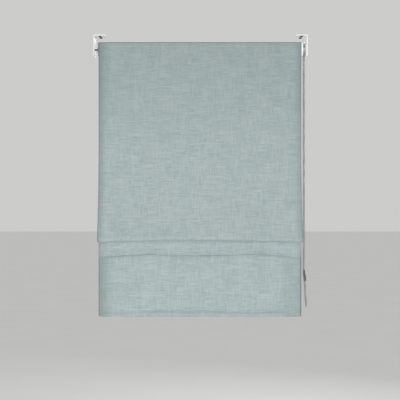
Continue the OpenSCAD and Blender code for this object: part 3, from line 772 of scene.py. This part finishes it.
def stitch(a, b, out, width):
    """A short thread lying from a to b, standing proud along out."""
    a, b, out = Vector(a), Vector(b), Vector(out).normalized()
    side = (b - a).normalized().cross(out).normalized()
    return loft([ring(a.lerp(b, share) + out * (width * 0.25 * fat), side, out,
                      width * 0.5 * fat, width * 0.4 * fat, 6) for share, fat in STITCH_SHAPE])


def stitch_row(half):
    """Where the stitches of a row start, from -half on."""
    return [-half + i * STITCH_STEP for i in range(int(half * 2 / STITCH_STEP))]


def hem_stitches():
    """The row of stitches above the bar, following the cloth."""
    parts = []
    for x in stitch_row(CLOTH_HALF - HEM_ROW_INSET):
        ends = []
        for q in (x, x + STITCH_LENGTH):
            s = STITCH_S - stitch_rise(q)
            y, z, heading, near_s = min(PATH[:BOTTOM_I], key=lambda p: abs(p[AT_S] - s))
            ends.append(cloth_place(q, (y, z - (s - near_s), heading, s), FACE_T))
        parts.append(stitch(ends[0], ends[1], (0, -1, 0), HEM_THREAD))
    return mesh_object("hem_stitches", *join_parts(parts))


hem_row = hem_stitches()
dress(hem_row, thread_face, "bottom_bar")

# ---- rod pockets --------------------------------------------------------------------------------


def pocket_mesh(name, y, z, tilt, seed):
    """A folded strip of lining cloth: the sleeve round the rod, the band sewn on, its stitches."""
    steps, around = 150, 18
    sections, outers, inners, threads = [], [], [], []
    turn = Matrix.Translation((MID_X, y, z)) @ Matrix.Rotation(-tilt, 4, "X")
    front = POCKET_Y - POCKET_OUT
    back = front + POCKET_T

    def put(x, behind, high):
        return tuple(turn @ Vector((x, behind, high)))

    for i in range(steps + 1):
        x = -POCKET_HALF + 2 * POCKET_HALF * i / steps
        top = POCKET_H / 2 + 0.0004 * noise.noise(Vector((x * 40, seed, 0.5)))
        low = -POCKET_H / 2 + 0.0004 * noise.noise(Vector((x * 40, seed, 9.5)))
        lift = 0.00012 * math.sin(x * 300 + seed)
        section = ((front, low), (front, 0), (front, top), (back + lift, top),
                   (back, top * 0.6), (back, 0), (back, low * 0.6), (back - lift, low))
        sections.append([put(x, behind, high) for behind, high in section])
        slack = 0.00022 * noise.noise(Vector((x * 55, seed, 4.5)))
        outer, inner = [], []
        for a in angles(around):
            r = POCKET_OUT + slack * (1 - math.cos(a)) * (1 + 0.5 * math.sin(a * 2 + x * 60))
            outer.append(put(x, POCKET_Y - r * math.cos(a), r * math.sin(a)))
            inner.append(put(x, POCKET_Y - POCKET_IN * math.cos(a), POCKET_IN * math.sin(a)))
        outers.append(outer)
        inners.append(inner)
    sleeve = mesh_object(name, *loft(outers + inners[::-1], closed=True))
    out = turn.to_3x3() @ Vector((0, 1, 0))
    for x in stitch_row(POCKET_HALF - POCKET_ROW_INSET):
        for share in ((0.46, -0.46) if tilt else (0.36, -0.36, 0.46, -0.46)):
            ends = [put(q, back, POCKET_H * share) for q in (x, x + STITCH_LENGTH)]
            threads.append(stitch(ends[0], ends[1], out, POCKET_THREAD))
    band = mesh_object(name + "_band", *loft(sections))
    return sleeve, band, mesh_object(name + "_stitches", *join_parts(threads))


POCKETS = (
    ("upper_pocket_sleeve", CLOTH_Y, UPPER_Z, 0.0, "upper_rod", "upper_pocket"),
    ("middle_pocket_sleeve", MIDDLE_Y, MIDDLE_Z, MIDDLE_TILT, "middle_rod", "middle_pocket"),
    ("lift_pocket_sleeve", CLOTH_Y, LIFT_Z, 0.0, "lift_rod", "lift_pocket"),
)
for number, (name, y, z, tilt, body, replaced) in enumerate(POCKETS):
    sleeve, band, rows = pocket_mesh(name, y, z, tilt, number * 3.7)
    dress(sleeve, lining_cloth, body, [replaced])
    # the tilted band lies in the sweep of the cloth, so it rides on the headrail with the lining
    drawn_up = tilt > 0
    dress(band, lining_cloth, "headrail" if drawn_up else body)
    dress(rows, thread_lining, "headrail" if drawn_up else body)
    if drawn_up:
        squash_with_raise(band)
        squash_with_raise(rows)

# ---- touch tape ---------------------------------------------------------------------------------


def tape_strip(name, node, pile_side):
    """A woven strip the size of its node, with a fine selvedge and a nap on the side that holds."""
    low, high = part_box(node)
    steps, rows = 180, 10
    rings = []
    for i in range(steps + 1):
        x = low.x + (high.x - low.x) * i / steps
        wave = 0.00025 * noise.noise(Vector((x * 30, pile_side, 1.5)))
        front, back = [], []
        for k in range(rows + 1):
            selvedge = k in (0, rows)
            z = low.z + (high.z - low.z) * k / rows + (wave if selvedge else 0)
            pile = noise.noise(Vector((x * 700, z * 700, pile_side)))
            nap = 0.0004 if selvedge else 0.00022 * (0.5 + 0.5 * pile)
            front.append((x, low.y + (nap if pile_side < 0 else 0), z))
            back.append((x, high.y - (nap if pile_side > 0 else 0), z))
        rings.append(front + back[::-1])
    return mesh_object(name, *loft(rings))


for name, node, pile_side in (("hook_tape_strip", "hook_tape", -1),
                              ("loop_tape_strip", "loop_tape", 1)):
    dress(tape_strip(name, node, pile_side), tape_cloth, "headrail", [node])

# ---- lift cords ---------------------------------------------------------------------------------

RING_Y = CORD_Y - CLOTH_Y
CORD_ROUTE = (  # (y, z) from the spool through the rings to the anchor
    (CORD_Y, AXIS_Z),
    (CORD_Y, UPPER_Z),
    (MIDDLE_Y + RING_Y * math.cos(MIDDLE_TILT), MIDDLE_Z - RING_Y * math.sin(MIDDLE_TILT)),
    (CORD_Y, LIFT_Z + 0.018),
    (CORD_Y, LIFT_Z - 0.0001),
)


def lift_cord(name, x):
    """A lift cord along its route, a tube in short steps."""
    points = []
    for (ya, za), (yb, zb) in zip(CORD_ROUTE, CORD_ROUTE[1:]):
        steps = max(2, int((za - zb) / 0.004))
        points += [(x, ya + (yb - ya) * i / steps, za + (zb - za) * i / steps)
                   for i in range(steps)]
    points.append((x, CORD_ROUTE[-1][0], CORD_ROUTE[-1][1]))
    return mesh_object(name, *loft(tube(points, CORD_R, 10)))


def cord_winding(name, x):
    """The turns of cord already wound on a spool."""
    turns, per_turn = 4, 36
    start, pitch = 0.0018, CORD_R * 2.05
    wound_r = SPOOL_R + CORD_R + 0.00005
    thick = CORD_R * 0.95
    rings = []
    for i in range(turns * per_turn + 1):
        a = 2 * math.pi * i / per_turn + math.pi
        y, z = wound_r * math.cos(a), AXIS_Z + wound_r * math.sin(a)
        radial = Vector((0, y, z - AXIS_Z)).normalized()
        spot = Vector((x + start + pitch * i / per_turn, y, z))
        rings.append(ring(spot, radial, Vector((1, 0, 0)), thick, thick, 8))
    return mesh_object(name, *loft(rings))


for name, x, node in (("left_lift_braid", MID_X - CORD_X, "left_lift_cord"),
                      ("right_lift_braid", MID_X + CORD_X, "right_lift_cord")):
    braid = lift_cord(name, x)
    dress(braid, cord_braid, "headrail", [node])
    squash_with_raise(braid)
for name, x in (("left_winding", MID_X - CORD_X), ("right_winding", MID_X + CORD_X)):
    dress(cord_winding(name, x), cord_braid, "drive")

# ---- spring behind the idle pin -----------------------------------------------------------------


def spring_mesh():
    """A coil the size of its node; the pin presses it towards its fixed right end."""
    low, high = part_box("idle_spring")
    wire, turns, steps, sides = 0.00035, 5, 36, 10
    radius = (high.y - low.y) / 2 - wire
    rings = []
    for i in range(turns * steps + 1):
        a = 2 * math.pi * i / steps
        x = low.x + wire + (high.x - low.x - 2 * wire) * i / (turns * steps)
        rings.append([(x + wire * math.sin(b), (radius + wire * math.cos(b)) * math.cos(a),
                       AXIS_Z + (radius + wire * math.cos(b)) * math.sin(a))
                      for b in angles(sides)])
    obj = mesh_object("idle_spring_coil", *loft(rings))
    dress(obj, dark_steel, "headrail", ["idle_spring"])
    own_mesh(obj)


spring_mesh()

# ---- fixing screws ------------------------------------------------------------------------------

# (radius, below the flange, how far the cross recess is let in): shank, domed head, recess
SCREW_PROFILE = (
    (0.0021, 0.0001 - FLANGE_T, 0), (0.0021, 0.00004, 0), (0.0043, 0.00005, 0),
    (0.0045, 0.0003, 0), (0.0045, 0.0011, 0), (0.0042, 0.0020, 0), (0.0034, 0.0027, 0),
    (0.0026, 0.0030, 0), (0.0022, 0.0031, 0), (0.0019, 0.0031, 0.0006),
    (0.0016, 0.0031, 0.0015), (0.0010, 0.0026, 0.0012), (0.0005, 0.0015, 0.0002),
)


def pan_screw(x, y):
    """A pan head screw under the bracket's flange, its shank in the hole."""
    return loft([[(x + r * math.cos(a), y + r * math.sin(a),
                   -FLANGE_T - below + deep * smooth(0.72, 0.92, abs(math.cos(2 * a))))
                  for a in angles(48)] for r, below, deep in SCREW_PROFILE])


for name, side in (("left_bracket_screws", -1), ("right_bracket_screws", 1)):
    pair = [pan_screw(side * SCREW_X, y) for y in (-SCREW_Y, SCREW_Y)]
    dress(mesh_object(name, *join_parts(pair)), dark_steel, "headrail")

# ---- bead chain ---------------------------------------------------------------------------------


def chain_route():
    """Ball centres round the loop, from the wheel's top down the front and back up the rear."""
    quarter, low_turn = WHEEL_BALLS // 4, WHEEL_BALLS // 2
    spots = []

    def leaning(y, down):
        return (down * math.sin(LEAN), y, KNEE_Z - down * math.cos(LEAN))

    for i in range(quarter):
        a = math.pi / 2 - i * 2 * math.pi / WHEEL_BALLS
        spots.append((0.0, -WHEEL_R * math.cos(a), AXIS_Z + WHEEL_R * math.sin(a)))
    for i in range(RUN_BALLS + 1):
        spots.append((0.0, -WHEEL_R, AXIS_Z - BALL_PITCH * i))
    for i in range(1, LEAN_BALLS + 1):
        spots.append(leaning(-WHEEL_R, BALL_PITCH * i))
    for i in range(1, low_turn):
        a = math.pi * i / low_turn
        down = BALL_PITCH * LEAN_BALLS + WHEEL_R * math.sin(a)
        spots.append(leaning(-WHEEL_R * math.cos(a), down))
    for i in range(LEAN_BALLS, 0, -1):
        spots.append(leaning(WHEEL_R, BALL_PITCH * i))
    for i in range(RUN_BALLS, -1, -1):
        spots.append((0.0, WHEEL_R, AXIS_Z - BALL_PITCH * i))
    for i in range(1, quarter):
        a = i * 2 * math.pi / WHEEL_BALLS
        spots.append((0.0, WHEEL_R * math.cos(a), AXIS_Z + WHEEL_R * math.sin(a)))
    return [(CHAIN_X + x, y, z) for x, y, z in spots]


def directions(along):
    """Three directions at right angles, the first one along."""
    look = Vector(along).normalized()
    across = look.orthogonal().normalized()
    return look, across, look.cross(across)


def chain_ball(centre, along):
    """A ball, cut flat where the links leave it."""
    look, across, other = directions(along)
    rings = []
    for degrees in (-72, -50, -28, -8, 8, 28, 50, 72):
        f = math.radians(degrees)
        r, h = BALL_R * math.cos(f), BALL_R * math.sin(f)
        rings.append(ring(Vector(centre) + look * h, across, other, r, r, 12))
    return loft(rings)


def chain_link(a, b):
    """The wire between two balls, its ends inside them."""
    a, b = Vector(a), Vector(b)
    look, across, other = directions(b - a)
    return loft([ring(a.lerp(b, share), across, other, LINK_R, LINK_R, 6)
                 for share in (0.30, 0.5, 0.70)])


route = chain_route()
chain_parts = []
for i, spot in enumerate(route):
    before, after = route[max(0, i - 1)], route[min(len(route) - 1, i + 1)]
    chain_parts.append(chain_ball(spot, Vector(after) - Vector(before)))
    if i + 1 < len(route):
        chain_parts.append(chain_link(spot, route[i + 1]))
chain = mesh_object("bead_chain_balls", *join_parts(chain_parts))
dress(chain, chain_nickel, "headrail", ["bead_chain"])

# (radius, in from the end) of the lip at each end of a joiner half, from the bore outwards
JOINER_LIP = ((0.0024, 0.0004), (0.0026, 0.0), (JOINER_R - 0.0003, 0.0), (JOINER_R, 0.0006),
              (JOINER_R, 0.0022), (JOINER_R - 0.0005, 0.0030))


def joiner(name, top, aside):
    """Half of the breakaway joiner: a tube with a lip at each end, set aside to show the break."""
    knee = Vector((CHAIN_X, -WHEEL_R, KNEE_Z))
    place = Matrix.Translation(knee) @ Matrix.Rotation(-LEAN, 4, "Y")
    place = place @ Matrix.Translation((aside, 0, 0))
    low = top - JOINER_LEN / 2
    profile = [(r, top - inset) for r, inset in JOINER_LIP]
    profile += [(r, low + inset) for r, inset in reversed(JOINER_LIP)]
    return mesh_object(name, *lathe(profile, 28, place))


for name, top, aside, node in (
        ("joiner_tube_upper", BALL_PITCH / 2, -JOINER_STEP, "joiner_upper"),
        ("joiner_tube_lower", BALL_PITCH / 2 - JOINER_LEN / 2, JOINER_STEP, "joiner_lower")):
    piece = joiner(name, top, aside)
    dress(piece, grey_plastic, "headrail", [node])

# ---- floor, light and camera --------------------------------------------------------------------

FLOOR_HALF = 30.0
FLOOR_Z = -1.75
WORLD_COLOR = (0.86, 0.86, 0.855, 1.0)
WORLD_STRENGTH = 0.70
LIGHT_AIM = (0.0, 0.0, -0.45)
LIGHTS = (  # (name, place, width and height, watts)
    ("key", (-1.0, -2.9, -0.95), (2.2, 1.0), 44),
    ("fill", (1.6, -2.7, -0.85), (2.4, 1.0), 22),
    ("back", (1.0, 2.8, 0.6), (2.4, 2.0), 26),
)
CAMERA_BACK = 2.25
CAMERA_PLACE = (MID_X + 0.0001, CLOTH_Y - CAMERA_BACK, -0.4678)
CAMERA_LENS = 71.53
CAMERA_SENSOR = 36


def floor():
    corners = [(-FLOOR_HALF, -FLOOR_HALF, FLOOR_Z), (FLOOR_HALF, -FLOOR_HALF, FLOOR_Z),
               (FLOOR_HALF, FLOOR_HALF, FLOOR_Z), (-FLOOR_HALF, FLOOR_HALF, FLOOR_Z)]
    obj = mesh_object("studio_floor", corners, [(0, 1, 2, 3)])
    m = Shade("studio_floor", roughness=0.8)
    m.color(m.mix(m.noise((3, 3, 3)), (0.80, 0.80, 0.79), (0.85, 0.85, 0.84)))
    obj.data.materials.append(m.material)


def area_light(name, place, size, power):
    data = bpy.data.lights.new(name, "AREA")
    data.shape = "RECTANGLE"
    data.size, data.size_y = size
    data.energy = power
    obj = bpy.data.objects.new(name, data)
    bpy.context.scene.collection.objects.link(obj)
    obj.location = place
    look = Vector(LIGHT_AIM) - Vector(place)
    obj.rotation_euler = look.to_track_quat("-Z", "Y").to_euler()


def front_camera():
    data = bpy.data.cameras.new("camera")
    data.sensor_width = CAMERA_SENSOR
    data.lens = CAMERA_LENS
    camera = bpy.data.objects.new("camera", data)
    bpy.context.scene.collection.objects.link(camera)
    camera.location = CAMERA_PLACE
    camera.rotation_euler = (math.radians(90), 0, 0)
    bpy.context.scene.camera = camera


floor()
world = bpy.data.worlds.new("studio")
world.use_nodes = True
background = world.node_tree.nodes["Background"]
background.inputs["Color"].default_value = WORLD_COLOR
background.inputs["Strength"].default_value = WORLD_STRENGTH
bpy.context.scene.world = world
for name, place, size, power in LIGHTS:
    area_light(name, place, size, power)
bpy.context.scene.view_settings.view_transform = "Standard"
front_camera()
